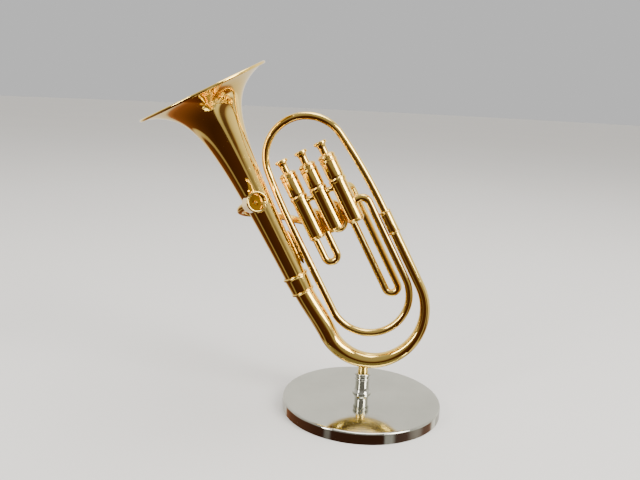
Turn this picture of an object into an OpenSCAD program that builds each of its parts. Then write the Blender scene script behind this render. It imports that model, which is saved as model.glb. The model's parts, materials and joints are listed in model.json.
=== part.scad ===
// Miniature euphonium, leaning on a turned post over a round base.
// The origin is the centre of the base's underside, +Z is up, and all sizes are in millimetres.
// The horn is drawn upright in a plane of its own and then leaned to the left on its post.

/* [Base and post] */
// Diameter of the round base
base_d = 40; // [38:0.5:44]
// Thickness of the round base
base_t = 2.8; // [2.6:0.1:3.4]
// Distance of the post behind the centre of the base
post_back = 2.6; // [0:0.1:4]
// Height of the turned post above the base
post_h = 5.6; // [5.2:0.1:6]
// Radius of the post's shaft
post_r = 1.75; // [1.6:0.05:2]
// Radius of the peg that turns in the post
peg_r = 1; // [0.9:0.05:1.1]

/* [Horn] */
// Lean of the horn to the left, in degrees
lean = 28.6; // [24:0.2:32]
// Rod radius of the small tubes
tube_r = 0.95; // [0.85:0.05:1]

/* [Bell] */
// Radius of the bell's rim
rim_r = 15.9; // [15:0.1:17]
// Height of the rim along the bell's axis
rim_h = 85.6; // [84:0.1:88]
// Thickness of the bell's wall
bell_wall = 0.35; // [0.3:0.05:0.5]
// Lean of the bell to the front of the horn's plane, in degrees
bell_lean = 7; // [6:0.1:8]
// Lean of the bell toward the valves, in degrees
bell_side = 1.5; // [1:0.1:1.8]

/* [Outer bow] */
// Rod radius where the outer bow leaves the bell's ferrule
bow_r_start = 2.5; // [2.3:0.05:2.6]
// Rod radius at the thin end of the outer bow
bow_r_end = 1.22; // [1.1:0.02:1.3]
// Sides of each ring of the outer bow
bow_sides = 24; // [16:4:32]

/* [Valves] */
// Distance between neighbouring valves
valve_gap = 5.3; // [5.2:0.05:5.5]
// Outer radius of a valve casing
casing_r = 2.08; // [2:0.02:2.12]
// Radius of the bore that a piston runs in
bore_r = 1.68; // [1.6:0.02:1.72]
// Radial clearance of the moving pieces
running_gap = 0.05; // [0.02:0.01:0.08]
// How far a piston goes down
travel = 1.4; // [1:0.1:1.5]
// Radius of a finger button
button_r = 1.68; // [1.5:0.02:1.9]

/* [Mouthpiece] */
// Radius of the mouthpiece's rim
mouth_r = 2.5; // [2.4:0.05:2.8]
// Length of the mouthpiece
mouth_l = 8.5; // [7.5:0.1:9]
// Turn of the mouthpiece away from the front, in degrees
mouth_turn = 28; // [26:1:30]

/* [Hidden] */
$fn = 64;
gold = "goldenrod";
nickel = "silver";
steel = "slategray";

// Radius of the recess for the screw's head
screw_hole_r = 2.3;

// In the horn's own plane, x runs across the horn, y points to the back and z runs up the tubes.
// Its origin is on the post's axis at the top of the base.
bell_x = -2;
ferrule_low = 30.4;
ferrule_high = 35.4;
bow_top = 32.9;
bell_low = 33.6;
bell_pivot = 34.6;
// Numbers of the flare curve: radius = flare_floor + flare_gain / (depth + flare_offset)
flare_floor = 1.8;
flare_offset = 3.72;
flare_gain = (rim_r - flare_floor) * flare_offset;
bead_r = 0.35;

loop_z = 60.6;
loop_r = 10.15;
// The loop's legs spread outward below it: how far each one turns, and the radius it turns on
spread_r = 139;
spread_right = 9;
spread_left = 6;
leg_split = 42;
inner_bow_x = 22.95;
inner_bow_low = 12.95;
crook_z = 46.2;
crook_r = 1.9;
rod_sides = 16;

bow_left_x = -0.95;
bow_left_z = 17.9;
bow_mid_x = 11.2;
bow_low_z = 5.75;
bow_right_x = 25.4;
loop_x = bow_right_x - spread_r * (1 - cos(spread_right)) - loop_r * cos(spread_right);
inner_leg_x = loop_x - loop_r * cos(spread_left) - spread_r * (1 - cos(spread_left));
bow_ferrule_low = 34.6;
bow_ferrule_high = 40.8;
bow_join = 37.5;

first_valve_x = 7.6;
casing_low = 42.3;
casing_high = 57.4;
ring_low = 52.2;
ring_high = 53;
cap_top = 59.6;
stem_r = 1;
// A button rests one travel and a little more above its cap.
button_low = cap_top + travel + 0.95;
button_high = button_low + 0.85;
piston_low = 50;
loop_leg_left = -1.3;
loop_leg_right = 2;
loop_back = 3;
elbow_bend = 1.3;
knuckle_r = 0.85;
knuckle_z = 51.2;
// Radius of the hollow in the peg's top, which sits against the outer bow
saddle_r = 2.12;

mouth_x = 1.5;
mouth_y = -14.9;
mouth_z = 56.7;
// Route of the leadpipe from the mouthpiece round the back of the bell to the first valve
leadpipe_route = [
    [-2.21, -7.92, 56.7], [-3.4, -6.95, 56.7], [-5.1, -5.6, 56.5], [-6.2, -3.7, 56],
    [-6.35, -1.6, 55.3], [-5.35, 0.4, 54.2], [-3.35, 2, 52.9], [-0.6, 2.75, 51.1],
    [2.2, 2.6, 49.1], [4.2, 1.9, 47.7], [6.2, 0.75, 46.5]
];

function valve_x(i) = first_valve_x + (i - 1) * valve_gap;
function flare(depth) = flare_floor + flare_gain / (depth + flare_offset);
function mix(u, v, t) = u + (v - u) * t;
function unit(v) = v / norm(v);
// Points along an arc in the horn's plane, without its first point, so that arcs join end to end.
function arc(centre, r, from, to, steps) = [for (k = [1:steps])
    let (w = mix(from, to, k / steps)) [centre.x + r * cos(w), 0, centre.y + r * sin(w)]];

// Leans the horn on its post and puts it over the base.
module horn() translate([0, post_back, base_t]) rotate([0, -lean, 0]) children();

// Sets a lathe-turned piece on the bell's axis, which leans a little to the front.
module on_bell_axis() {
    translate([bell_x, 0, bell_pivot]) rotate([bell_lean, bell_side, 0])
        translate([0, 0, -bell_pivot]) children();
}

module turned(profile) rotate_extrude() polygon(profile);

// A ring with a half-round outer edge, as turned on a lathe.
module bead(r, z, h) {
    translate([0, 0, z]) rotate_extrude() union() {
        translate([r - h / 2, 0]) circle(d = h, $fn = 32);
        translate([r - h, -h / 2]) square([h / 2, h]);
    }
}

// A straight rod between two points.
module rod(p, q, r) {
    d = q - p;
    translate(p) rotate([0, acos(d.z / norm(d)), atan2(d.y, d.x)])
        cylinder(r = r, h = norm(d));
}

// A rod bent round a corner in the horn's plane: centre, bend radius and the two angles.
module bend(centre, bend_r, from, to, r) {
    translate([centre.x, 0, centre.y]) rotate([90, 0, 0])
        rotate([0, 0, from]) rotate_extrude(angle = to - from)
            translate([bend_r, 0]) circle(r = r, $fn = 48);
}

// A tube of round rings along a route of points, each with its own radius.
function tangent(route, i) =
    unit(route[min(i + 1, len(route) - 1)] - route[max(i - 1, 0)]);
function ring_at(route, i, r, sides, up) =
    let (t = tangent(route, i), u = unit(cross(up, t)), v = cross(t, u))
    [for (k = [0:sides - 1]) route[i] + r * (cos(360 * k / sides) * u + sin(360 * k / sides) * v)];
module swept(route, radii, sides, up) {
    n = len(route);
    points = [for (i = [0:n - 1]) each ring_at(route, i, radii[i], sides, up)];
    walls = [
        for (i = [0:n - 2], k = [0:sides - 1])
            let (a = i * sides + k, b = i * sides + (k + 1) % sides)
            each [[a, b, b + sides], [a, b + sides, a + sides]]
    ];
    first = [for (k = [0:sides - 1]) sides - 1 - k];
    last = [for (k = [0:sides - 1]) (n - 1) * sides + k];
    polyhedron(points, concat([first], [last], walls));
}

// Points of a smooth curve through a route, a few between each pair.
function smooth_point(p, q, r, s, t) =
    0.5 * (2 * q + (r - p) * t + (2 * p - 5 * q + 4 * r - s) * t * t
        + (3 * q - p - 3 * r + s) * t * t * t);
function smooth(route, steps) = let (n = len(route)) concat(
    [for (i = [0:n - 2], j = [0:steps - 1])
        smooth_point(route[max(i - 1, 0)], route[i], route[i + 1], route[min(i + 2, n - 1)],
            j / steps)],
    [route[n - 1]]);

// A rod of one thickness along a route in the horn's plane, or near it.
module bent_rod(route) swept(route, [for (p = route) tube_r], rod_sides, [0, 1, 0]);

module base_disc() color(nickel) difference() {
    edge = 0.5;
    rotate_extrude($fn = 128) union() {
        square([base_d / 2 - edge, base_t]);
        square([base_d / 2, base_t - edge]);
        translate([base_d / 2 - edge, base_t - edge]) circle(r = edge, $fn = 32);
    }
    translate([0, post_back, -1]) cylinder(r = 1.3, h = base_t + 2);
    translate([0, post_back, -1]) cylinder(r = screw_hole_r, h = 2.2);
}

module post() color(nickel) translate([0, post_back, base_t]) difference() {
    union() {
        cylinder(r = post_r, h = post_h);
        turned([[0, 0], [2.4, 0], [2.4, 0.35], [1.9, 1.1], [post_r, 1.6], [0, 1.6]]);
        bead(2.1, post_h - 0.4, 0.8);
        bead(2.05, post_h - 1.55, 0.7);
    }
    translate([0, 0, post_h - 3.2]) cylinder(r = peg_r + running_gap, h = 4);
    translate([0, 0, -1]) cylinder(r = 1.2, h = 2.9);
}

module base_screw() color(steel) translate([0, post_back, 0]) difference() {
    union() {
        translate([0, 0, 0.15]) cylinder(r = screw_hole_r - 0.2, h = 1.05);
        translate([0, 0, 1.2]) cylinder(r = 1.2, h = base_t + 0.6);
    }
    translate([-3, -0.25, -0.5]) cube([6, 0.5, 1.05]);
}

// The peg that the horn is soldered to, with a collar that rests over the post.
module stand_peg() color(gold) difference() {
    translate([0, post_back, base_t + post_h]) union() {
        translate([0, 0, -2.9]) cylinder(r = peg_r, h = 3.5);
        translate([0, 0, running_gap]) cylinder(r = 1.3, h = 1.9);
    }
    horn() bend([bow_mid_x, bow_left_z], bow_arc_left, 210, 260, saddle_r);
}

module bell_outline(inset) {
    samples = 28;
    depth_end = rim_h - bell_low;
    // Samples are closer together near the rim, where the flare turns fastest.
    points = [for (k = [0:samples])
        let (depth = depth_end * pow(k / samples, 2.2)) [flare(depth) - inset, rim_h - depth]];
    polygon(concat([[0, rim_h]], points, [[0, bell_low]]));
}

module bell_outer() on_bell_axis() union() {
    rotate_extrude($fn = 96) bell_outline(0);
    translate([0, 0, rim_h]) rotate_extrude($fn = 96)
        translate([rim_r, 0]) circle(r = bead_r, $fn = 24);
}

module bell() color(gold) difference() {
    bell_outer();
    on_bell_axis() rotate_extrude($fn = 96) bell_outline(bell_wall);
    on_bell_axis() translate([0, 0, bell_low - 1]) cylinder(r = 2.2, h = 3);
    on_bell_axis() translate([0, 0, rim_h]) cylinder(r = rim_r - bell_wall, h = 3);
}

module bell_ferrule() color(gold) difference() {
    translate([bell_x, 0, 0]) union() {
        translate([0, 0, ferrule_low]) cylinder(r1 = 2.8, r2 = 3.1, h = ferrule_high - ferrule_low);
        bead(3.05, ferrule_low + 0.3, 0.6);
        bead(3.35, ferrule_high - 0.35, 0.7);
    }
    bell_outer();
    translate([bell_x, 0, ferrule_low - 1])
        cylinder(r = bow_r_start, h = bow_top - ferrule_low + 1.2);
}

// Route of the outer bow: down the left, round the bottom and up the right.
bow_arc_left = bow_mid_x - bow_left_x;
bow_arc_right = bow_right_x - bow_mid_x;
bow_left_leg = [for (k = [0:8]) let (t = k / 9)
    [mix(bell_x, bow_left_x, (1 - cos(180 * t)) / 2), 0, mix(bow_top, bow_left_z, t)]];
bow_left_arc = [for (k = [0:13]) let (w = 180 + 90 * k / 14)
    [bow_mid_x + bow_arc_left * cos(w), 0, bow_left_z + (bow_left_z - bow_low_z) * sin(w)]];
bow_right_arc = [for (k = [0:14]) let (w = 270 + 90 * k / 14)
    [bow_mid_x + bow_arc_right * cos(w), 0,
        bow_low_z + bow_arc_right + bow_arc_right * sin(w)]];
bow_right_leg = [for (k = [1:5])
    [bow_right_x, 0, mix(bow_low_z + bow_arc_right, bow_join, k / 5)]];
bow_route = concat(bow_left_leg, bow_left_arc, bow_right_arc, bow_right_leg);
bow_steps = len(bow_route) - 1;
// The rod stays thick down the left leg, narrows round the bow and ends thin on the right.
function bow_radius(k) = let (t = k / bow_steps)
    mix(bow_r_start, bow_r_end, (1 - cos(180 * pow(min(t / 0.9, 1), 1.15))) / 2);

module bow_solid() {
    swept(bow_route, [for (k = [0:bow_steps]) bow_radius(k)], bow_sides, [0, 1, 0]);
}

module bottom_bow() color(gold) bow_solid();

module bow_ferrule() color(gold) difference() {
    translate([bow_right_x, 0, 0]) union() {
        translate([0, 0, bow_ferrule_low])
            cylinder(r = 1.38, h = bow_ferrule_high - bow_ferrule_low);
        bead(1.5, bow_ferrule_low + 0.3, 0.55);
        bead(1.5, bow_ferrule_high - 0.3, 0.55);
    }
    translate([bow_right_x, 0, bow_ferrule_low - 1])
        cylinder(r = bow_r_end, h = bow_join - bow_ferrule_low + 1);
    translate([bow_right_x, 0, bow_join - 0.01]) cylinder(r = tube_r, h = 5);
}

// The top loop comes out of the right ferrule, goes over the valves and down beside the bell.
module top_loop() color(gold) {
    right_low = loop_z + (loop_r - spread_r) * sin(spread_right);
    left_low = loop_z + (loop_r - spread_r) * sin(spread_left);
    bent_rod(concat(
        [[bow_right_x, 0, bow_join], [bow_right_x, 0, right_low]],
        arc([bow_right_x - spread_r, right_low], spread_r, 0, spread_right, 5),
        arc([loop_x, loop_z], loop_r, spread_right, 180 - spread_left, 22),
        arc([inner_leg_x + spread_r, left_low], spread_r, 180 - spread_left, 180, 4),
        [[inner_leg_x, 0, leg_split]]
    ));
}

// The inner bow goes on from the top loop, turns under the valves and ends in the third valve.
module inner_bow() color(gold) {
    bow_r = (inner_bow_x - inner_leg_x) / 2;
    bow_z = inner_bow_low + bow_r;
    crook = [inner_bow_x - crook_r, crook_z - crook_r];
    difference() {
        bent_rod(concat(
            [[inner_leg_x, 0, leg_split], [inner_leg_x, 0, bow_z]],
            arc([inner_leg_x + bow_r, bow_z], bow_r, 180, 360, 22),
            [[inner_bow_x, 0, crook.y]],
            arc(crook, crook_r, 0, 90, 7),
            [[valve_x(3) + casing_r - 0.4, 0, crook_z]]
        ));
        casing_barrel(3);
    }
}

// A thin strip of solder that joins the inner leg to the side of the bell.
module bell_stay() color(gold) difference() {
    low = 37;
    high = 46.5;
    translate([bell_x + 1, -0.3, low]) cube([inner_leg_x - bell_x - 1, 0.6, high - low]);
    on_bell_axis() translate([0, 0, low - 1])
        cylinder(r1 = flare(rim_h - low + 1), r2 = flare(rim_h - high - 1), h = high - low + 2);
    translate([inner_leg_x, 0, low - 1]) cylinder(r = tube_r, h = high - low + 2);
}

module leadpipe() color(gold) {
    route = smooth(leadpipe_route, 4);
    difference() {
        swept(route, [for (p = route) tube_r * 0.95], 16, [0, 0, 1]);
        casing_barrel(1);
    }
}

module mouthpiece() color(gold) {
    translate([mouth_x, mouth_y, mouth_z]) rotate([0, 0, mouth_turn]) rotate([-90, 0, 0])
        difference() {
            union() {
                turned([[0, 0.3], [2.25, 0.3], [2.45, 0.75], [2.15, 0.95], [2.15, 1.15],
                    [2.35, 1.4], [2.2, 1.75], [2.2, mouth_l - 1.5], [1.9, mouth_l - 0.55],
                    [1.25, mouth_l], [0, mouth_l]]);
                translate([0, 0, 0.3]) rotate_extrude()
                    translate([mouth_r - 0.3, 0]) circle(r = 0.3, $fn = 32);
            }
            translate([0, 0, -0.7]) cylinder(r1 = 3.15, r2 = 0.25, h = 2.9);
        }
}

module casing_outline(i) translate([valve_x(i), 0, 0]) union() {
    translate([0, 0, casing_low]) cylinder(r = casing_r, h = ring_low - casing_low);
    turned([[0, ring_low], [2.3, ring_low], [2.3, ring_high - 0.1], [2.05, ring_high + 0.1],
        [2.05, ring_high + 0.3], [2.15, ring_high + 0.6], [2.15, casing_high], [0, casing_high]]);
}

module valve_casing(i) color(gold) difference() {
    casing_outline(i);
    translate([valve_x(i), 0, casing_low - 1]) cylinder(r = bore_r, h = 20);
}

module top_cap(i) color(gold) translate([valve_x(i), 0, 0]) difference() {
    union() {
        turned([[0, casing_high], [2.15, casing_high], [2.15, cap_top - 0.65],
            [1.85, cap_top - 0.2], [1.4, cap_top], [0, cap_top]]);
        bead(2.33, casing_high + 0.3, 0.5);
        bead(2.3, cap_top - 0.8, 0.5);
    }
    translate([0, 0, casing_high - 1]) cylinder(r = stem_r + running_gap, h = 5);
}

module bottom_cap(i) color(gold) translate([valve_x(i), 0, 0]) union() {
    turned([[0, casing_low - 1], [1.8, casing_low - 1], [2.1, casing_low - 0.7],
        [2.1, casing_low], [0, casing_low]]);
    bead(2.25, casing_low - 0.35, 0.5);
}

module casing_barrel(i) translate([valve_x(i), 0, casing_low])
    cylinder(r = casing_r, h = ring_low - casing_low);

// A short tube that joins two neighbouring valves.
module knuckle(i) color(gold) difference() {
    rod([valve_x(i) + 1.5, 0, knuckle_z], [valve_x(i + 1) - 1.5, 0, knuckle_z], knuckle_r);
    casing_barrel(i);
    casing_barrel(i + 1);
}

// A U of rod behind a valve, whose two ends turn forward into the casing.
module valve_loop(i, low, left_top, right_top) color(gold) {
    half = (loop_leg_right - loop_leg_left) / 2;
    middle = (loop_leg_left + loop_leg_right) / 2;
    u_z = low + tube_r + half;
    u_turn = [for (p = arc([middle, u_z], half, 180, 360, 12)) p + [0, loop_back, 0]];
    left = loop_elbow(loop_leg_left, left_top);
    right = loop_elbow(loop_leg_right, right_top);
    difference() {
        translate([valve_x(i), 0, 0]) bent_rod(concat(
            left, [[loop_leg_left, loop_back, u_z]], u_turn,
            [for (k = [len(right) - 1:-1:0]) right[k]]
        ));
        casing_barrel(i);
    }
}

// An elbow from inside the casing's wall out to the top of a leg at x, then down.
function loop_elbow(x, top) =
    let (reach = norm([x, loop_back]), out = [x, loop_back] / reach)
    concat(
        [[casing_r - 0.5, top]],
        [for (k = [0:5]) let (w = 90 - 18 * k)
            [reach - elbow_bend + elbow_bend * cos(w), top - elbow_bend + elbow_bend * sin(w)]]
    ) * [[out.x, out.y, 0], [0, 0, 1]];

// A coil spring under the piston.
module valve_spring(i) color(steel) translate([valve_x(i), 0, 0]) {
    wire_r = 0.16;
    coil_r = 1.15;
    turns = 6;
    steps = 10;
    low = casing_low + wire_r + 0.02;
    high = piston_low - wire_r - 0.02;
    route = [for (k = [0:turns * steps]) let (w = 360 * k / steps)
        [coil_r * cos(w), coil_r * sin(w), mix(low, high, k / (turns * steps))]];
    swept(route, [for (p = route) wire_r], 6, [0, 0, 1]);
}

module piston(i) color(gold) translate([valve_x(i), 0, 0]) union() {
    translate([0, 0, piston_low])
        cylinder(r = bore_r - running_gap, h = casing_high - 0.1 - piston_low);
    translate([0, 0, casing_high - 0.2]) cylinder(r = stem_r, h = button_low - casing_high + 0.2);
    turned([[0, button_low - 0.75], [stem_r, button_low - 0.75], [1.28, button_low],
        [0, button_low]]);
}

module finger_button(i) color(gold) translate([valve_x(i), 0, 0]) {
    turned([[0, button_low], [button_r - 0.12, button_low], [button_r, button_low + 0.12],
        [button_r, button_high - 0.2], [button_r - 0.2, button_high], [1.2, button_high],
        [0.6, button_high - 0.12], [0, button_high - 0.15]]);
}

base_disc();
post();
base_screw();
stand_peg();
horn() bell();
horn() bell_ferrule();
horn() bottom_bow();
horn() bow_ferrule();
horn() top_loop();
horn() inner_bow();
horn() bell_stay();
horn() leadpipe();
horn() mouthpiece();
horn() valve_casing(1);  // valve_casing_1
horn() valve_casing(2);  // valve_casing_2
horn() valve_casing(3);  // valve_casing_3
horn() top_cap(1);  // top_cap_1
horn() top_cap(2);  // top_cap_2
horn() top_cap(3);  // top_cap_3
horn() bottom_cap(1);  // bottom_cap_1
horn() bottom_cap(2);  // bottom_cap_2
horn() bottom_cap(3);  // bottom_cap_3
horn() knuckle(1);  // knuckle_1
horn() knuckle(2);  // knuckle_2
horn() valve_loop(1, 33, 45, 47.6);  // valve_loop_1
horn() valve_loop(2, 40, 45, 47.6);  // valve_loop_2
horn() valve_loop(3, 19.3, 45, 50);  // valve_loop_3
horn() valve_spring(1);  // valve_spring_1
horn() valve_spring(2);  // valve_spring_2
horn() valve_spring(3);  // valve_spring_3
horn() piston(1);  // piston_1
horn() piston(2);  // piston_2
horn() piston(3);  // piston_3
horn() finger_button(1);  // finger_button_1
horn() finger_button(2);  // finger_button_2
horn() finger_button(3);  // finger_button_3
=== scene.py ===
# %% [markdown]
# # A miniature euphonium on its stand
# The real object is a small table ornament: a gold-plated horn, bent and turned from solid brass,
# soldered to a peg that turns in a nickel-plated post. Its sizes and moving parts come from the
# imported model. This lesson only builds what the eye sees, in the same place and at the same size.

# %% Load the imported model
import bpy
import json
import math
from mathutils import Matrix, Vector


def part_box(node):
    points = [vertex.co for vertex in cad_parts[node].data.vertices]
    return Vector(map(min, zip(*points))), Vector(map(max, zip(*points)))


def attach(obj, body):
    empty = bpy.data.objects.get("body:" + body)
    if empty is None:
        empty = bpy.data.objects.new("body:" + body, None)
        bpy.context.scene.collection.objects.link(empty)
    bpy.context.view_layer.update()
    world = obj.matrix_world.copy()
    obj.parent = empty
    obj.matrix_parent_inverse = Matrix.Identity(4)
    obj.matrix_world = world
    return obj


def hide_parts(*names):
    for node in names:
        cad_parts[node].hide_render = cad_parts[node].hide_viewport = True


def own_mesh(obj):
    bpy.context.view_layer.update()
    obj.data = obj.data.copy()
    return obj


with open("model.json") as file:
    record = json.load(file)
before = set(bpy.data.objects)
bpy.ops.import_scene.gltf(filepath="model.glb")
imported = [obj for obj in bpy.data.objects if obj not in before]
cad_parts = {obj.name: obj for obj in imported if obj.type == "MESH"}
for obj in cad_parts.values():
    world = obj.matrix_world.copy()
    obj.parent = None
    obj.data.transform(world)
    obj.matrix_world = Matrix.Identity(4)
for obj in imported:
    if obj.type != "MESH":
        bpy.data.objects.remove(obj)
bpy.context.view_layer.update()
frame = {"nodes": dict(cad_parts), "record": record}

# %% [markdown]
# ## The horn's own plane
# The horn was drawn upright and then leaned to the left. It is easier to think about it upright, so
# every piece of it is described in that plane, in millimetres: x across the horn, y to the back and
# z up the tubes. One matrix leans the finished points. Its angle comes from the direction in which
# a valve goes down, and its place from the swivel joint, so nothing has to be fitted by eye.

# %% The leaning frame of the horn
MM = 0.001
joints = {joint["name"]: joint for joint in frame["record"]["behaviour"]["joints"]}
down = Vector(joints["valve_1_press"]["axis"]).normalized()
lean = math.atan2(down.x, -down.z)
post_y = joints["horn_swivel"]["pos_m"][1]
base_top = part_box("base_disc")[1].z
scale_to_metres = Matrix.Scale(MM, 4)
STAND = Matrix.Translation((0, post_y, base_top)) @ scale_to_metres
HORN = Matrix.Translation((0, post_y, base_top)) @ Matrix.Rotation(-lean, 4, "Y") @ scale_to_metres
print(f"the horn leans {math.degrees(lean):.1f} degrees")


def box_in(matrix, node):
    """Lowest and highest corner of a CAD node, in millimetres, in the frame that matrix sets."""
    back = matrix.inverted()
    points = [back @ vertex.co for vertex in frame["nodes"][node].data.vertices]
    low = Vector([min(p[axis] for p in points) for axis in range(3)])
    high = Vector([max(p[axis] for p in points) for axis in range(3)])
    return low, high


def middle_x(node):
    """Where the middle of a CAD node stands across the horn, in millimetres."""
    low, high = box_in(HORN, node)
    return (low.x + high.x) / 2


# %% [markdown]
# ## Turned pieces
# A lathe makes most of this object: the bell, the caps, the post and the base. In Blender a turned
# piece is an outline of (radius, height) points that is spun round an axis. Real edges are never
# quite sharp, and a polished edge shows as a fine bright line, so the outline's corners are rounded
# before it is spun. A Spin or Screw modifier would do the same; doing it in code keeps the poles
# clean, with one point on the axis instead of a ring of points on top of each other.

# %% Outlines with rounded corners
def rounded(corners, fillet=0.12, steps=5):
    """Rounds the corners of an outline. A corner may carry its own fillet as a third number."""
    points = [Vector(corners[0][:2])]
    for before, here, after in zip(corners, corners[1:], corners[2:]):
        size = here[2] if len(here) > 2 else fillet
        corner = Vector(here[:2])
        back = Vector(before[:2]) - corner
        ahead = Vector(after[:2]) - corner
        start = corner + back.normalized() * min(size, back.length * 0.49)
        end = corner + ahead.normalized() * min(size, ahead.length * 0.49)
        if size == 0:
            points.append(corner)
            continue
        for step in range(steps + 1):
            t = step / steps
            points.append(start * (1 - t) ** 2 + corner * 2 * t * (1 - t) + end * t * t)
    points.append(Vector(corners[-1][:2]))
    return points


def ring(radius, height, width, steps=8):
    """Corners of a half-round ring on a turned piece, from its lower side to its upper side."""
    half = width / 2
    angles = [math.pi * (step / steps - 0.5) for step in range(steps + 1)]
    return [(radius - half + half * math.cos(a), height + half * math.sin(a), 0) for a in angles]


# %% Spin an outline into a mesh
# Faces that meet at more than this many degrees keep a sharp edge between them.
sharp_angle = 50


def finish_mesh(name, points, faces, matrix):
    """Makes an object from points in millimetres, smooth apart from its sharp edges."""
    mesh = bpy.data.meshes.new(name)
    mesh.from_pydata([matrix @ Vector(p) for p in points], [], faces)
    mesh.shade_smooth()
    mesh.set_sharp_from_angle(angle=math.radians(sharp_angle))
    piece = bpy.data.objects.new(name, mesh)
    bpy.context.scene.collection.objects.link(piece)
    return piece


def turned(name, outline, matrix, sides=96, closed=False):
    """Spins an outline round the z axis. A closed outline makes a hollow ring."""
    points = []
    rows = []
    for radius, height in outline:
        if radius == 0:
            rows.append([len(points)] * sides)
            points.append((0, 0, height))
            continue
        rows.append([len(points) + side for side in range(sides)])
        for side in range(sides):
            angle = math.tau * side / sides
            points.append((radius * math.cos(angle), radius * math.sin(angle), height))
    if closed:
        rows.append(rows[0])
    faces = []
    for lower, upper in zip(rows, rows[1:]):
        for side in range(sides):
            following = (side + 1) % sides
            corners = [lower[side], lower[following], upper[following], upper[side]]
            face = list(dict.fromkeys(corners))
            if len(face) > 2:
                faces.append(face)
    return finish_mesh(name, points, faces, matrix)


# %% [markdown]
# ## Bent rods
# The tubes are solid rod, bent on a former. A curve object with a bevel would do, but a rod that
# tapers needs a radius at each point, and the mesh must not twist where the route leaves its plane.
# So the ring of points is carried along the route and only ever turned as far as the route turns.

# %% Carry a round section along a route
def bent(name, route, radii, matrix, sides=40, flat=1.0):
    """Sweeps a round section along a route. flat squashes the section from front to back."""
    route = [Vector(p) for p in route]
    if not isinstance(radii, list):
        radii = [radii] * len(route)
    count = len(route)
    ahead = [(route[min(i + 1, count - 1)] - route[max(i - 1, 0)]).normalized()
             for i in range(count)]
    across = ahead[0].cross(Vector((0, 1, 0))).normalized()
    points = []
    for i in range(count):
        across = (across - ahead[i] * across.dot(ahead[i])).normalized()
        other = ahead[i].cross(across)
        for side in range(sides):
            angle = math.tau * side / sides
            offset = across * math.cos(angle) + other * math.sin(angle) * flat
            points.append(route[i] + offset * radii[i])
    faces = [[side for side in reversed(range(sides))]]
    for i in range(count - 1):
        for side in range(sides):
            following = (side + 1) % sides
            low = i * sides
            high = low + sides
            faces.append([low + side, low + following, high + following, high + side])
    faces.append([(count - 1) * sides + side for side in range(sides)])
    return finish_mesh(name, points, faces, matrix)


def mix(start, end, t):
    """A value part of the way from start to end."""
    return start + (end - start) * t


def arc(centre_x, centre_z, radius, start, end, steps, height=None):
    """Points along an arc in the horn's plane, in degrees, without its first point."""
    height = radius if height is None else height
    angles = [math.radians(mix(start, end, step / steps)) for step in range(1, steps + 1)]
    return [Vector((centre_x + radius * math.cos(a), 0, centre_z + height * math.sin(a)))
            for a in angles]


# %% [markdown]
# ## Every piece is handed over in the same way
# A finished piece stands for a CAD node, rides on that node's body so that it moves with the joint,
# and takes its finish from one of the record's slots. One function does all three, and keeps a list
# of the pieces, so that the materials can be given out at the end.

# %% Hand a piece to the frame
body_of_node = {node: body for body, nodes in frame["record"]["behaviour"]["bodies"].items()
                for node in nodes}
slot_of_node = {part["node"]: part["material_slot"] for part in frame["record"]["subparts"]}
finished = []


def hand_over(piece, node):
    """Puts a piece in place of a CAD node. Its material is set once the finishes are made."""
    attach(piece, body_of_node[node])
    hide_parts(node)
    finished.append((piece, slot_of_node[node], node))
    return piece


# %% [markdown]
# ## The post
# The base disc keeps its CAD shape, which already has its rounded edge and its hole for the screw.
# The post is turned again with finer rounding, because its rings catch small highlights: a foot
# that flares into the base, a straight shaft and two rings under the collar of the horn's peg.

# %% Turn the post and the horn's peg
post_low, post_high = box_in(STAND, "post")
post_height = post_high.z
foot_radius = (post_high.x - post_low.x) / 2
shaft_radius = 1.75
socket_radius = 1.05
socket_depth = 3.2
post_outline = (
    [(0, 0), (foot_radius, 0, 0.05), (foot_radius, 0.32, 0.14), (2.02, 0.7, 0.25), (1.8, 1.3, 0.3),
     (shaft_radius, 1.9, 0.3), (shaft_radius, 3.2, 0.3), (1.78, post_height - 2.05, 0.1)]
    + ring(2.05, post_height - 1.55, 0.7)
    + [(1.8, post_height - 1.15, 0.05), (1.8, post_height - 0.85, 0.05)]
    + ring(2.1, post_height - 0.4, 0.8)
    + [(socket_radius, post_height, 0.05), (socket_radius, post_height - socket_depth, 0),
       (0, post_height - socket_depth)])
hand_over(turned("post_turned", rounded(post_outline), STAND), "post")

peg_low, peg_high = box_in(STAND, "stand_peg")
peg_radius = 1.0
collar_radius = 1.3
collar_low = post_height + 0.05
peg_outline = [
    (0, peg_low.z), (peg_radius, peg_low.z, 0.1), (peg_radius, collar_low, 0),
    (collar_radius, collar_low, 0.08), (collar_radius, collar_low + 0.75, 0.1),
    (1.18, collar_low + 0.95, 0.15), (collar_radius, peg_high.z, 0.1), (0, peg_high.z)]
hand_over(turned("stand_peg_turned", rounded(peg_outline), STAND, sides=64), "stand_peg")
print(f"post: {post_height:.1f} mm high, foot {2 * foot_radius:.1f} mm across")

# %% [markdown]
# ## The bell
# A bell's radius grows slowly at first and then very fast near the rim, much like one over the
# distance that is left to the rim. The sheet is thin, so its inside follows its outside, and the
# rim is rolled over a wire. It leans a little to the front, about a point inside its ferrule, and a
# second matrix adds that lean to the horn's.

# %% Turn the bell
bell_axis_x = -2
bell_pivot = 34.6
bell_front = math.radians(7)
bell_side = math.radians(1.5)
BELL = (HORN @ Matrix.Translation((bell_axis_x, 0, bell_pivot))
        @ Matrix.Rotation(bell_side, 4, "Y") @ Matrix.Rotation(bell_front, 4, "X")
        @ Matrix.Translation((0, 0, -bell_pivot)))
bell_low, bell_high = box_in(BELL, "bell")
rim_bead = 0.35
rim_radius = (bell_high.x - bell_low.x) / 2 - rim_bead
rim_height = bell_high.z - rim_bead
sheet = 0.35
flare_floor = 1.8
flare_offset = 3.72
flare_gain = (rim_radius - flare_floor) * flare_offset


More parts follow.
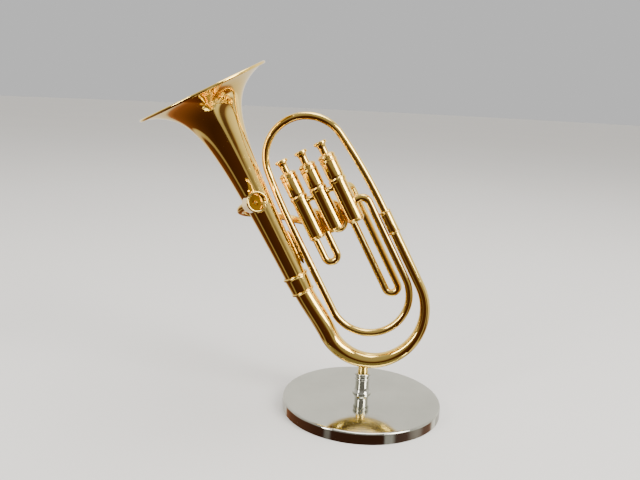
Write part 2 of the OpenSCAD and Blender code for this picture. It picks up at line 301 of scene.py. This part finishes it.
def flare(depth):
    """Outer radius of the bell at a depth below its rim."""
    return flare_floor + flare_gain / (depth + flare_offset)


# Rows of points crowd together towards the rim, where the curve is tightest.
bell_rows = 90
crowding = 2.2
bell_depth = rim_height - bell_low.z
depths = [bell_depth * (row / bell_rows) ** crowding for row in range(bell_rows + 1)]
outside = [Vector((flare(depth), rim_height - depth)) for depth in reversed(depths)]

# The rolled edge starts under the rim, goes round its outside and ends on the inside.
bead_steps = 14
bead_start = -100
bead_sweep = 260
bead_angles = [math.radians(bead_start + bead_sweep * step / bead_steps)
               for step in range(bead_steps + 1)]
bead = [Vector((rim_radius + rim_bead * math.cos(a), rim_height + rim_bead * math.sin(a)))
        for a in bead_angles]

# The hollow starts below the rolled edge and stops a few rows above the foot, at a flat floor.
below_bead = 0.4
floor_rows = 4
inside = [Vector((flare(depth) - sheet, rim_height - depth))
          for depth in depths if depth > below_bead][:-floor_rows]
hollow_floor = Vector((0, inside[-1].y))
bell_outline = [Vector((0, bell_low.z))] + outside[:-1] + bead + inside + [hollow_floor]
hand_over(turned("bell_spun", bell_outline, BELL, sides=192), "bell")
print(f"bell: rim {2 * rim_radius:.1f} mm across, {bell_depth:.1f} mm long")

# %% [markdown]
# ## The ferrules
# Where two tubes meet, a sleeve with a ring at each end covers the joint. On the bell side the
# sleeve is short and stout; on the thin side it is long and slim. Both are closed outlines, so the
# spun mesh has a hole for the tube and no hidden faces crossing it.

# %% Turn the two ferrules
ferrule_x = middle_x("bell_ferrule")
low, high = [corner.z for corner in box_in(HORN, "bell_ferrule")]
bell_sleeve = (
    [(2.55, low + 0.6, 0), (2.55, low + 0.02, 0.03)] + ring(3.05, low + 0.3, 0.6)
    + [(2.82, low + 0.72, 0.06), (3.02, high - 0.85, 0.06)] + ring(3.35, high - 0.35, 0.7)
    + [(2.9, high - 0.02, 0.03), (2.9, high - 1, 0)])
hand_over(turned("bell_ferrule_turned", rounded(bell_sleeve),
                 HORN @ Matrix.Translation((ferrule_x, 0, 0)), closed=True), "bell_ferrule")

thin_x = middle_x("bow_ferrule")
low, high = [corner.z for corner in box_in(HORN, "bow_ferrule")]
thin_sleeve = (
    [(1.23, low + 0.6, 0), (1.23, low + 0.02, 0.02)] + ring(1.5, low + 0.3, 0.55)
    + [(1.38, low + 0.68, 0.04), (1.38, high - 0.68, 0.04)] + ring(1.5, high - 0.3, 0.55)
    + [(0.97, high - 0.02, 0.02), (0.97, high - 0.6, 0)])
hand_over(turned("bow_ferrule_turned", rounded(thin_sleeve),
                 HORN @ Matrix.Translation((thin_x, 0, 0)), closed=True), "bow_ferrule")
print(f"thin ferrule: {high - low:.1f} mm long at x = {thin_x:.1f} mm")

# %% [markdown]
# ## The outer bow
# The outer bow carries the bell. It is thick down the left side, tapers round the bottom and ends
# thin in the right ferrule. Its route is a soft bend down the left, a quarter of an ellipse, a
# quarter of a circle and a straight leg.

# %% Bend the outer bow
bow_left_x = -0.95
bow_left_z = 17.9
bow_middle_x = 11.2
bow_bottom_z = 5.75
bow_top_z = 32.9
bow_join_z = 37.5
bow_thick = 2.5
bow_thin = 1.22
right_radius = thin_x - bow_middle_x
left_radius = bow_middle_x - bow_left_x
left_steps = 24
bend_steps = 40
leg_steps = 12
bow_route = []
for step in range(left_steps):
    t = step / left_steps
    bow_route.append(Vector((
        mix(bell_axis_x, bow_left_x, (1 - math.cos(math.pi * t)) / 2), 0,
        mix(bow_top_z, bow_left_z, t))))
bow_route.append(Vector((bow_left_x, 0, bow_left_z)))
bow_route += arc(bow_middle_x, bow_left_z, left_radius, 180, 270, bend_steps,
                 height=bow_left_z - bow_bottom_z)
bow_right_z = bow_bottom_z + right_radius
bow_route += arc(bow_middle_x, bow_right_z, right_radius, 270, 360, bend_steps)
bow_route += [Vector((thin_x, 0, mix(bow_right_z, bow_join_z, step / leg_steps)))
              for step in range(1, leg_steps + 1)]

# The rod stays thick down the left leg and tapers most round the bottom, so the taper runs over
# shares of the route that are given for the end of each stretch.
left_share = 0.214
bottom_share = 0.548
right_share = 0.881
bow_shares = [0]
for start, end, steps in ((0, left_share, left_steps), (left_share, bottom_share, bend_steps),
                          (bottom_share, right_share, bend_steps), (right_share, 1, leg_steps)):
    bow_shares += [mix(start, end, step / steps) for step in range(1, steps + 1)]
taper_end = 0.9
taper_ease = 1.15


def bow_radius(share):
    """Radius of the outer bow at a share of its route."""
    eased = min(share / taper_end, 1) ** taper_ease
    return mix(bow_thick, bow_thin, (1 - math.cos(math.pi * eased)) / 2)


bow_radii = [bow_radius(share) for share in bow_shares]
hand_over(bent("bottom_bow_bent", bow_route, bow_radii, HORN, sides=56), "bottom_bow")
bow_length = sum((end - start).length for start, end in zip(bow_route, bow_route[1:]))
print(f"outer bow: {bow_length:.0f} mm of rod")

# %% [markdown]
# ## The top loop and the inner bow
# The thin rod goes on up from the right ferrule, round over the valves and down beside the bell.
# Its legs bow outward a little, on a very large radius. Below the valves the rod turns back up in
# a smaller bow and ends in a short crook at the third valve.

# %% Bend the top loop
rod_radius = 0.95
loop_z = 60.6
loop_radius = 10.15
spread_radius = 139
spread_right = 9
spread_left = 6
leg_split_z = 42


def drop(angle):
    """How far the centre of a spread leg's arc is below the loop's own centre."""
    return (spread_radius - loop_radius) * math.sin(math.radians(angle))


right_cos = math.cos(math.radians(spread_right))
left_cos = math.cos(math.radians(spread_left))
loop_x = thin_x - spread_radius * (1 - right_cos) - loop_radius * right_cos
inner_leg_x = loop_x - loop_radius * left_cos - spread_radius * (1 - left_cos)
right_z = loop_z - drop(spread_right)
left_z = loop_z - drop(spread_left)
loop_route = [Vector((thin_x, 0, mix(bow_join_z, right_z, step / 3))) for step in range(4)]
loop_route += arc(thin_x - spread_radius, right_z, spread_radius, 0, spread_right, 14)
loop_route += arc(loop_x, loop_z, loop_radius, spread_right, 180 - spread_left, 60)
loop_route += arc(inner_leg_x + spread_radius, left_z, spread_radius, 180 - spread_left, 180, 10)
loop_route += [Vector((inner_leg_x, 0, mix(left_z, leg_split_z, step / 3)))
               for step in range(1, 4)]
hand_over(bent("top_loop_bent", loop_route, rod_radius, HORN), "top_loop")
print(f"top loop: legs {thin_x - inner_leg_x:.1f} mm apart")

# %% Bend the inner bow
inner_right_x = 22.95
inner_bottom_z = 12.95
crook_z = 46.2
crook_radius = 1.9
inner_radius = (inner_right_x - inner_leg_x) / 2
inner_z = inner_bottom_z + inner_radius
crook_end_x = middle_x("valve_casing_3") + 1.9
inner_route = [Vector((inner_leg_x, 0, mix(leg_split_z, inner_z, step / 5))) for step in range(6)]
inner_route += arc(inner_leg_x + inner_radius, inner_z, inner_radius, 180, 360, 60)
inner_route += [Vector((inner_right_x, 0, mix(inner_z, crook_z - crook_radius, step / 5)))
                for step in range(1, 6)]
inner_route += arc(inner_right_x - crook_radius, crook_z - crook_radius, crook_radius, 0, 90, 14)
inner_route.append(Vector((crook_end_x, 0, crook_z)))
hand_over(bent("inner_bow_bent", inner_route, rod_radius, HORN), "inner_bow")
print(f"inner bow: {2 * inner_radius:.1f} mm between its legs")

# %% [markdown]
# ## The solder beside the bell
# The inner leg is soldered to the side of the bell. The solder is a thin strip with an uneven
# edge, so its radius swells and shrinks a little along the way, in a fixed pattern.

# %% Run the solder strip
stay_low, stay_high = box_in(HORN, "bell_stay")
stay_x = middle_x("bell_stay")
stay_half = (stay_high.x - stay_low.x) / 2
stay_steps = 40
stay_route = []
stay_radii = []
for step in range(stay_steps + 1):
    t = step / stay_steps
    stay_route.append(Vector((stay_x, 0, mix(stay_low.z, stay_high.z, t))))
    ends = min(1, 6 * t, 6 * (1 - t)) ** 0.5
    uneven = 0.04 * math.sin(23 * t) + 0.03 * math.sin(61 * t + 1)
    stay_radii.append(max(0.02, stay_half * (0.94 + uneven) * ends))
hand_over(bent("bell_stay_soldered", stay_route, stay_radii, HORN, sides=24, flat=0.35),
          "bell_stay")
print(f"solder strip: {stay_high.z - stay_low.z:.1f} mm long")

# %% [markdown]
# ## The mouthpiece and the leadpipe
# The mouthpiece faces the player, to the front. Its rim is a rolled edge round a dish that funnels
# in to the throat. The leadpipe starts in its shank, goes round the back of the bell and comes
# down to the first valve. Its route is a list of points joined by a smooth curve that passes
# through each of them.

# %% Turn the mouthpiece
mouth_centre = (1.5, -14.9, 56.7)
mouth_turn = math.radians(28)
mouth_radius = 2.5
mouth_length = 8.5
shank = 2.2
MOUTH = (HORN @ Matrix.Translation(mouth_centre) @ Matrix.Rotation(mouth_turn, 4, "Z")
         @ Matrix.Rotation(math.radians(-90), 4, "X"))
lip = 0.3
lip_angles = [math.radians(30 - 240 * step / 12) for step in range(13)]
lip_arc = [(mouth_radius - lip + lip * math.cos(a), lip + lip * math.sin(a), 0)
           for a in lip_angles]
mouth_outline = (
    [(0, mouth_length), (1.15, mouth_length, 0.15), (1.85, mouth_length - 0.55, 0.25),
     (shank, mouth_length - 1.5, 0.5), (shank, 1.85, 0.1), (2.32, 1.55, 0.08), (2.32, 1.3, 0.08),
     (2.12, 1.08, 0.05), (2.2, 0.85, 0.05)]
    + lip_arc + [(1.95, 0.42, 0.25), (0.75, 1.62, 0.5), (0.28, 2.2, 0.1), (0.25, 2.7, 0),
                 (0, 2.7)])
mouth_profile = list(reversed(rounded(mouth_outline)))
hand_over(turned("mouthpiece_turned", mouth_profile, MOUTH), "mouthpiece")
print(f"mouthpiece: rim {2 * mouth_radius:.1f} mm, {mouth_length:.1f} mm long")

# %% Bend the leadpipe
leadpipe_points = [Vector(p) for p in (
    (-2.21, -7.92, 56.7), (-3.4, -6.95, 56.7), (-5.1, -5.6, 56.5), (-6.2, -3.7, 56),
    (-6.35, -1.6, 55.3), (-5.35, 0.4, 54.2), (-3.35, 2, 52.9), (-0.6, 2.75, 51.1),
    (2.2, 2.6, 49.1), (4.2, 1.9, 47.7), (6.2, 0.75, 46.5))]


def smooth(points, steps):
    """A smooth curve through points, with a few steps between each pair."""
    curve = []
    last = len(points) - 1
    for i in range(last):
        before = points[max(i - 1, 0)]
        start = points[i]
        end = points[i + 1]
        after = points[min(i + 2, last)]
        for step in range(steps):
            t = step / steps
            curve.append(0.5 * (
                2 * start + (end - before) * t
                + (2 * before - 5 * start + 4 * end - after) * t * t
                + (3 * start - before - 3 * end + after) * t ** 3))
    return curve + [points[last]]


leadpipe_route = smooth(leadpipe_points, 10)
leadpipe_radius = 0.95 * rod_radius
hand_over(bent("leadpipe_bent", leadpipe_route, leadpipe_radius, HORN, sides=32), "leadpipe")
print(f"leadpipe: {len(leadpipe_route)} points")

# %% [markdown]
# ## The valves
# Each valve is a casing with a ring round it, a cap screwed on at the top and one at the bottom,
# and a piston whose stem comes up through the top cap to a finger button. The three are alike, so
# one loop makes them, each at the place of its own CAD casing. The casings ride with the horn and
# the pistons ride with their own bodies, so the buttons go down in the poses.

# %% Outlines of a valve
casing_low, casing_high = [corner.z for corner in box_in(HORN, "valve_casing_1")]
barrel = 2.08
bore = 1.68
neck = 2.05
upper_barrel = 2.15
ring_bottom = 52.2
ring_top = 53
cap_bottom = casing_low - 1
cap_top = box_in(HORN, "top_cap_1")[1].z
button_low, button_high = [corner.z for corner in box_in(HORN, "finger_button_1")]
piston_low = box_in(HORN, "piston_1")[0].z
button_radius = 1.68
stem = 1.0

casing_outline = [
    (bore, casing_low, 0), (barrel, casing_low, 0), (barrel, ring_bottom, 0.06),
    (2.3, ring_bottom, 0.12), (2.3, ring_top - 0.1, 0.2), (neck, ring_top + 0.1, 0.08),
    (neck, ring_top + 0.3, 0.1), (upper_barrel, ring_top + 0.6, 0.1),
    (upper_barrel, casing_high, 0.03), (bore, casing_high, 0)]
top_cap_outline = (
    [(stem + 0.05, casing_high + 0.01, 0), (upper_barrel, casing_high + 0.01, 0.02)]
    + ring(2.33, casing_high + 0.3, 0.5)
    + [(2.13, casing_high + 0.62, 0.05), (2.13, cap_top - 1.1, 0.05)]
    + ring(2.3, cap_top - 0.8, 0.5)
    + [(2.1, cap_top - 0.5, 0.08), (1.85, cap_top - 0.2, 0.25), (1.4, cap_top, 0.12),
       (stem + 0.05, cap_top, 0.04), (stem + 0.05, casing_high + 0.2, 0)])
bottom_cap_outline = (
    [(0, cap_bottom + 0.12), (1.1, cap_bottom + 0.1, 0.3), (1.6, cap_bottom, 0.15),
     (1.85, cap_bottom, 0.12), (2.08, cap_bottom + 0.3, 0.12)]
    + ring(2.25, casing_low - 0.35, 0.5) + [(2.05, casing_low, 0.02), (0, casing_low)])
piston_outline = [
    (0, piston_low), (bore - 0.05, piston_low, 0.1), (bore - 0.05, casing_high - 0.1, 0.1),
    (stem, casing_high - 0.1, 0), (stem, cap_top + 0.1, 0.3), (stem, cap_top + 0.9, 0.5),
    (1.06, button_low - 0.6, 0.5), (1.28, button_low - 0.05, 0.1), (1.28, button_low, 0),
    (0, button_low)]
button_outline = [
    (0, button_low), (button_radius - 0.12, button_low, 0.08),
    (button_radius, button_low + 0.16, 0.12), (button_radius, button_high - 0.22, 0.12),
    (button_radius - 0.2, button_high, 0.14), (1.25, button_high, 0.15),
    (0.75, button_high - 0.14, 0.4), (0, button_high - 0.17)]

# %% Turn the three valves
for number in (1, 2, 3):
    valve_x = middle_x(f"valve_casing_{number}")
    VALVE = HORN @ Matrix.Translation((valve_x, 0, 0))
    hand_over(turned(f"valve_casing_{number}_turned", rounded(casing_outline), VALVE, closed=True),
              f"valve_casing_{number}")
    hand_over(turned(f"top_cap_{number}_turned", rounded(top_cap_outline), VALVE, closed=True),
              f"top_cap_{number}")
    hand_over(turned(f"bottom_cap_{number}_turned", rounded(bottom_cap_outline), VALVE),
              f"bottom_cap_{number}")
    hand_over(turned(f"piston_{number}_turned", rounded(piston_outline), VALVE, sides=64),
              f"piston_{number}")
    hand_over(turned(f"finger_button_{number}_turned", rounded(button_outline), VALVE, sides=64),
              f"finger_button_{number}")
    print(f"valve {number} stands at x = {valve_x:.1f} mm")

# %% [markdown]
# ## The return springs
# A coil spring stands under each piston, inside the casing, and pushes the button up again. It is a
# helix of thin wire, so a loop works out its route. The spring can't ride with the piston, because
# its foot stays where it is. The share of its length that is left at the piston's whole travel is
# worked out, but the coil is not squashed.

# %% Wind the coil
wire = 0.16
end_gap = 0.02
coil_radius = 1.15
coil_turns = 6
turn_steps = 20
spring_low = casing_low + wire + end_gap
spring_high = piston_low - wire - end_gap
spring_length = spring_high - spring_low + 2 * wire
coil_steps = coil_turns * turn_steps
coil = []
for step in range(coil_steps + 1):
    angle = math.tau * step / turn_steps + math.tau / 4
    coil.append((coil_radius * math.cos(angle), coil_radius * math.sin(angle),
                 mix(spring_low, spring_high, step / coil_steps)))

# %% Put a spring in each valve, and read how far its button goes down
slack = 0.03
for number in (1, 2, 3):
    VALVE = HORN @ Matrix.Translation((middle_x(f"valve_casing_{number}"), 0, 0))
    spring = hand_over(bent(f"valve_spring_{number}_coil", coil, wire, VALVE, sides=12),
                       f"valve_spring_{number}")
    press = f"valve_{number}_press"
    travel = max(abs(limit) for limit in joints[press]["range_m"]) / MM
    (spring_length - travel - slack) / spring_length
    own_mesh(spring)
    print(f"spring {number}: {spring_length:.1f} mm long, travel {travel:.1f} mm")

# %% [markdown]
# ## The valve loops and the knuckles
# Behind each valve hangs a U of the thin rod, and both of its ends turn forward into the casing.
# The third valve's loop is by far the longest. Two short knuckles join the casings to each other.

# %% Bend a valve loop
leg_left = -1.3
leg_right = 2.0
loop_back = 3.0
elbow_radius = 1.3
elbow_steps = 12
inside_wall = 0.3


def elbow(leg_x, top):
    """From inside the casing's wall, out to the top of a leg, and round the elbow."""
    reach = math.hypot(leg_x, loop_back)
    outward = Vector((leg_x, loop_back, 0)) / reach
    route = [outward * (barrel - inside_wall) + Vector((0, 0, top))]
    for step in range(elbow_steps + 1):
        angle = math.radians(90 - 90 * step / elbow_steps)
        out = reach - elbow_radius + elbow_radius * math.cos(angle)
        height = top - elbow_radius + elbow_radius * math.sin(angle)
        route.append(outward * out + Vector((0, 0, height)))
    return route


def valve_loop(number, bottom, left_top, right_top):
    """A U behind a valve, from its left elbow down, round and up to its right elbow."""
    place = Vector((middle_x(f"valve_casing_{number}"), 0, 0))
    half = (leg_right - leg_left) / 2
    turn_z = bottom + rod_radius + half
    route = elbow(leg_left, left_top) + [Vector((leg_left, loop_back, turn_z))]
    route += [p + Vector((0, loop_back, 0))
              for p in arc((leg_left + leg_right) / 2, turn_z, half, 180, 360, 28)]
    route += list(reversed(elbow(leg_right, right_top)))
    piece = bent(f"valve_loop_{number}_bent", [place + p for p in route], rod_radius, HORN)
    print(f"valve loop {number}: its bottom is at {bottom} mm")
    return hand_over(piece, f"valve_loop_{number}")


left_elbow_z = 45
for number, bottom, right_elbow_z in ((1, 33, 47.6), (2, 40, 47.6), (3, 19.3, 50)):
    valve_loop(number, bottom, left_elbow_z, right_elbow_z)

# %% Turn the knuckles
for number in (1, 2):
    low, high = box_in(HORN, f"knuckle_{number}")
    knuckle_radius = (high.z - low.z) / 2
    knuckle_waist = 0.8 * knuckle_radius
    knuckle_length = high.x - low.x
    KNUCKLE = (HORN @ Matrix.Translation((low.x, 0, (low.z + high.z) / 2))
               @ Matrix.Rotation(math.radians(90), 4, "Y"))
    outline = [(0, 0), (knuckle_radius, 0, 0), (knuckle_radius, 0.3, 0.2),
               (knuckle_waist, 0.45, 0.2), (knuckle_waist, knuckle_length - 0.45, 0.2),
               (knuckle_radius, knuckle_length - 0.3, 0.2), (knuckle_radius, knuckle_length, 0),
               (0, knuckle_length)]
    hand_over(turned(f"knuckle_{number}_turned", rounded(outline), KNUCKLE, sides=48),
              f"knuckle_{number}")
    print(f"knuckle {number}: {knuckle_length:.1f} mm long")

# %% [markdown]
# ## Writing a finish as sums
# A finish is a network of nodes, but its maths reads best as ordinary sums. A Wire holds one output
# socket, and adding or multiplying wires adds the Math nodes that do it. A Network holds the tree of
# a material or of the world, and its add method makes any other node: first its settings, then its
# inputs. A Finish is the network of one material.

# %% A wire that can be added and multiplied
class Wire:
    """One output socket of a network. Arithmetic on it adds Math nodes."""

    def __init__(self, network, socket):
        self.network = network
        self.socket = socket

    def other(self, name):
        """Another output of the same node."""
        return Wire(self.network, self.socket.node.outputs[name])

    def maths(self, operation, first, second):
        return self.network.add("ShaderNodeMath", {"operation": operation}, {0: first, 1: second})

    def __add__(self, other):
        return self.maths("ADD", self, other)

    def __radd__(self, other):
        return self.maths("ADD", other, self)

    def __mul__(self, other):
        return self.maths("MULTIPLY", self, other)

    def __rmul__(self, other):
        return self.maths("MULTIPLY", other, self)


# %% A network of nodes
class Network:
    """A tree of nodes, and one method that adds a node to it."""

    def __init__(self, tree):
        self.tree = tree
        self.tree.nodes.clear()

    def add(self, kind, settings=None, inputs=None, output=0):
        """Adds a node, with its settings first and then its inputs, and returns one output."""
        node = self.tree.nodes.new(kind)
        for key, value in (settings or {}).items():
            if key == "stops":
                for stop in range(len(value) - 2):
                    node.color_ramp.elements.new(0.5)
                for element, (place, shade) in zip(node.color_ramp.elements, value):
                    element.position = place
                    element.color = shade if isinstance(shade, tuple) else (shade, shade, shade, 1)
            else:
                setattr(node, key, value)
        for key, value in (inputs or {}).items():
            if isinstance(value, Wire):
                self.tree.links.new(value.socket, node.inputs[key])
            else:
                node.inputs[key].default_value = value
        return Wire(self, node.outputs[output])

    def noise(self, place, scale, detail=3):
        """A soft noise between 0 and 1 that is fixed to the piece."""
        return self.add("ShaderNodeTexNoise", None,
                        {"Vector": place, "Scale": scale, "Detail": detail})

    def steps(self, value, stops):
        """Bends a value along a ramp of (place, shade) pairs in rising order. A number is a grey."""
        return self.add("ShaderNodeValToRGB", {"stops": stops}, {"Fac": value})

    def blend(self, factor, first, second):
        """Mixes two colours."""
        return self.add("ShaderNodeMix", {"data_type": "RGBA"}, {0: factor, 6: first, 7: second},
                        output=2)

    def end(self, kind, surface):
        """Joins the surface to the network's output node."""
        node = self.tree.nodes.new(kind)
        self.tree.links.new(surface.socket, node.inputs["Surface"])


class Finish(Network):
    """The network of one material."""

    def __init__(self, name):
        self.material = bpy.data.materials.new(name)
        self.material.use_nodes = True
        super().__init__(self.material.node_tree)

    def close(self, colour, roughness, metallic, relief=None):
        """Ends the network in a surface. relief is a Bump node's output."""
        inputs = {"Base Color": colour, "Roughness": roughness, "Metallic": metallic}
        if relief is not None:
            inputs["Normal"] = relief
        self.end("ShaderNodeOutputMaterial", self.add("ShaderNodeBsdfPrincipled", None, inputs))


# %% [markdown]
# ## Gold plate
# Gold plate on polished brass is a mirror with a warm tint. What makes it look real is what spoils
# the mirror: the brass under the plate is a little wavy, so reflections wobble; a film of finger
# grease makes some patches duller; and the plate is browner in small specks. All of these are
# noises fixed to the piece. The waviness is a Bump, since it is only microns deep.

# %% Mix the gold plate
gold = Finish("gold plate")
place = gold.add("ShaderNodeTexCoord", output=3)
waves = gold.noise(place, 260, 2)
ripples = gold.noise(place, 1300, 2)
smears = gold.steps(gold.noise(place, 420, 5), [(0.42, 0), (0.68, 1)])
specks = gold.steps(gold.noise(place, 3800, 3), [(0.62, 0), (0.74, 1)])
tint = gold.blend(gold.noise(place, 150, 4), (1.0, 0.74, 0.21, 1), (0.92, 0.61, 0.14, 1))
colour = gold.blend(specks * 0.35, tint, (0.50, 0.30, 0.11, 1))
roughness = 0.04 + smears * 0.08 + specks * 0.12
relief = gold.add("ShaderNodeBump", None,
                  {"Strength": 0.22, "Distance": 0.00006, "Height": waves + ripples * 0.05})
gold.close(colour, roughness, 1.0, relief)
print("gold plate:", len(gold.tree.nodes), "nodes")

# %% [markdown]
# ## Nickel plate
# The base and post are nickel: nearly colourless, a touch warm, and polished in circles on a wheel,
# which leaves faint rings. The base is touched most, so it is a little duller than the horn, with
# clouds of smears and a few dull specks.

# %% Mix the nickel plate
nickel = Finish("nickel plate")
place = nickel.add("ShaderNodeTexCoord", output=3)
rings = nickel.add("ShaderNodeTexWave",
                   {"wave_type": "RINGS", "rings_direction": "Z", "wave_profile": "SIN"},
                   {"Vector": place, "Scale": 900, "Distortion": 2.5, "Detail": 3,
                    "Detail Scale": 1.5})
cloud = nickel.steps(nickel.noise(place, 190, 6), [(0.35, 0), (0.72, 1)])
specks = nickel.steps(nickel.noise(place, 2600, 3), [(0.66, 0), (0.76, 1)])
tint = nickel.blend(nickel.noise(place, 90, 4), (0.62, 0.62, 0.55, 1), (0.45, 0.45, 0.39, 1))
colour = nickel.blend(specks * 0.4, tint, (0.42, 0.38, 0.33, 1))
roughness = 0.04 + cloud * 0.09 + rings * 0.02 + specks * 0.2
relief = nickel.add("ShaderNodeBump", None,
                    {"Strength": 0.12, "Distance": 0.00005,
                     "Height": nickel.noise(place, 300, 3) + rings * 0.15})
nickel.close(colour, roughness, 1.0, relief)
print("nickel plate:", len(nickel.tree.nodes), "nodes")

# %% [markdown]
# ## Spring steel
# The screw under the base and the springs inside the valves are plain drawn steel: greyer and
# duller, with a fine grain.

# %% Mix the spring steel
steel = Finish("spring steel")
place = steel.add("ShaderNodeTexCoord", output=3)
grain = steel.noise(place, 2400, 4)
tint = steel.blend(grain, (0.58, 0.58, 0.59, 1), (0.40, 0.40, 0.42, 1))
relief = steel.add("ShaderNodeBump", None,
                   {"Strength": 0.2, "Distance": 0.00002, "Height": grain})
steel.close(tint, 0.25 + grain * 0.15, 1.0, relief)
print("spring steel:", len(steel.tree.nodes), "nodes")

# %% [markdown]
# ## Dressing the pieces
# Each new piece gets the finish of its slot. So does each CAD node that is still shown: the base
# disc and the screw under it.

# %% Give every piece its finish
finish_of_slot = {"gold_plate": gold, "nickel_plate": nickel, "spring_steel": steel}
replaced = {node for piece, slot, node in finished}
for piece, slot, node in finished:
    piece.data.materials.append(finish_of_slot[slot].material)
for node, slot in slot_of_node.items():
    if node not in replaced:
        shown = frame["nodes"][node]
        for material_slot in shown.material_slots:
            material_slot.material = finish_of_slot[slot].material
        print(node, "keeps its CAD shape,", len(shown.data.vertices), "points")
print(len(finished), "pieces built")

# %% [markdown]
# ## The studio
# Polished metal shows only what is round it, so the room matters as much as the gold. The floor is
# plain and pale, and it is left out of reflections, so that the undersides of the tubes go dark, as
# over a dark table.

# %% Lay the floor
floor_mesh = bpy.data.meshes.new("floor")
floor_radius = 3.0
floor_sides = 96
floor_mesh.from_pydata(
    [(floor_radius * math.cos(math.tau * k / floor_sides),
      floor_radius * math.sin(math.tau * k / floor_sides), 0) for k in range(floor_sides)],
    [], [list(range(floor_sides))])
floor = bpy.data.objects.new("floor", floor_mesh)
bpy.context.scene.collection.objects.link(floor)
floor.visible_glossy = False
paper = Finish("floor paper")
place = paper.add("ShaderNodeTexCoord", output=3)
shade = paper.blend(paper.noise(place, 6, 3), (0.70, 0.69, 0.68, 1), (0.74, 0.73, 0.72, 1))
paper.close(shade, 0.6, 0.0)
floor_mesh.materials.append(paper.material)
print("floor:", 2 * floor_radius, "m across")

# %% [markdown]
# ## The room that the metal reflects
# A mirror needs something dark to reflect as well, or gold looks like plaster. So the world is warm
# and dark below and bright above, and at the back a pale wall reaches a good way down. Narrow
# windows on the left and right draw a bright line down each tube. All of it is worked out from the
# direction in which a reflection leaves: x to the right, y to the back and z up. The camera itself
# sees a plain pale wall instead, which a Light Path node picks out.

# %% Take the direction apart
world = bpy.data.worlds.new("room")
world.use_nodes = True
bpy.context.scene.world = world
room = Network(world.node_tree)
across = room.add("ShaderNodeSeparateXYZ", None, {0: room.add("ShaderNodeTexCoord")})
deep = across.other("Y")
upward = across.other("Z")

# %% Set the horizon, lower at the back
level_horizon = 0.5
back_horizon = 0.74
horizon = room.add("ShaderNodeMapRange", None, {
    "Value": deep, "From Max": 0.8, "To Min": level_horizon, "To Max": back_horizon})
shades = room.steps(horizon + upward * 0.5, [
    (0, (0.09, 0.036, 0.02, 1)), (0.40, (0.17, 0.066, 0.034, 1)), (0.47, (0.30, 0.13, 0.065, 1)),
    (level_horizon, (0.62, 0.58, 0.52, 1)), (0.70, (0.95, 0.92, 0.86, 1)),
    (1, (1.0, 0.97, 0.92, 1))])
front_strength = 0.42
back_strength = 1.35
strength = room.add("ShaderNodeMapRange", None, {
    "Value": deep, "From Min": -0.6, "From Max": 0.7,
    "To Min": front_strength, "To Max": back_strength})

# %% Open the windows
# From the far left, at 0, to the far right, at 1: how much daylight there is.
windows = room.steps(across * 0.5 + 0.5, [
    (0, 0.6), (0.03, 0), (0.16, 0), (0.18, 0.45), (0.21, 0.45), (0.23, 0), (0.77, 0),
    (0.79, 0.9), (0.84, 0.9), (0.87, 0.05), (0.93, 0.05), (0.97, 0.8), (1, 1)])
daylight = (1.25, 1.22, 1.12, 1)
reflected = room.add("ShaderNodeBackground", None, {
    "Color": room.blend(windows, shades, daylight), "Strength": strength})

# %% Show the camera a plain wall
wall_grey = 0.66
plain_wall = room.add("ShaderNodeBackground", None, {
    "Color": (wall_grey, wall_grey, wall_grey, 1), "Strength": 0.95})
seen_by_camera = room.add("ShaderNodeLightPath")
room.end("ShaderNodeOutputWorld", room.add("ShaderNodeMixShader", None, {
    0: seen_by_camera, 1: reflected, 2: plain_wall}))
print("room:", len(world.node_tree.nodes), "nodes")

# %% [markdown]
# ## Soft lights
# Three large soft lamps: the key from the upper right in front, which draws the long bright line
# down each tube; a strip from the left that edges the bell; and one overhead for the floor.

# %% Hang the lights
def soft_light(name, place, target, width, height, watts, tint):
    """A rectangular lamp that faces its target."""
    lamp = bpy.data.lights.new(name, "AREA")
    lamp.shape = "RECTANGLE"
    lamp.size = width
    lamp.size_y = height
    lamp.energy = watts
    lamp.color = tint
    holder = bpy.data.objects.new(name, lamp)
    holder.location = place
    holder.rotation_euler = (Vector(target) - Vector(place)).to_track_quat("-Z", "Y").to_euler()
    bpy.context.scene.collection.objects.link(holder)


middle = (-0.01, 0, 0.045)
soft_light("key", (0.40, -0.22, 0.32), middle, 0.24, 0.36, 4.0, (1.0, 0.97, 0.92))
soft_light("strip", (-0.34, -0.34, 0.22), middle, 0.07, 0.36, 1.6, (1.0, 0.97, 0.92))
soft_light("overhead", (0.02, 0.02, 0.60), middle, 0.45, 0.35, 3.0, (1.0, 0.98, 0.95))
print("three soft lamps")

# %% [markdown]
# ## The camera
# The view is from the mouthpiece's side, a little above the bell's middle and looking slightly
# down, close enough that near parts look clearly larger. A camera's matrix is built from where it
# looks and which way is right; the small roll is part of how it was held.

# %% Set the camera
camera_data = bpy.data.cameras.new("camera")
camera_data.lens = 39.375
camera_data.sensor_width = 36
camera_data.clip_start = MM
camera = bpy.data.objects.new("camera", camera_data)
bpy.context.scene.collection.objects.link(camera)
looking = Vector((-0.1022, 0.9727, -0.2083)).normalized()
level_right = Vector((0.9945, 0.1045, 0)).normalized()
level_up = level_right.cross(looking)
roll = math.radians(2.736)
camera_right = level_right * math.cos(roll) + level_up * math.sin(roll)
camera_up = level_up * math.cos(roll) - level_right * math.sin(roll)
camera_matrix = Matrix((camera_right, camera_up, -looking)).transposed().to_4x4()
camera_place = Vector((5.13, -167.31, 78.68))
camera_matrix.translation = camera_place * MM
camera.matrix_world = camera_matrix
bpy.context.scene.camera = camera
print("camera at", [round(c, 4) for c in camera.location])
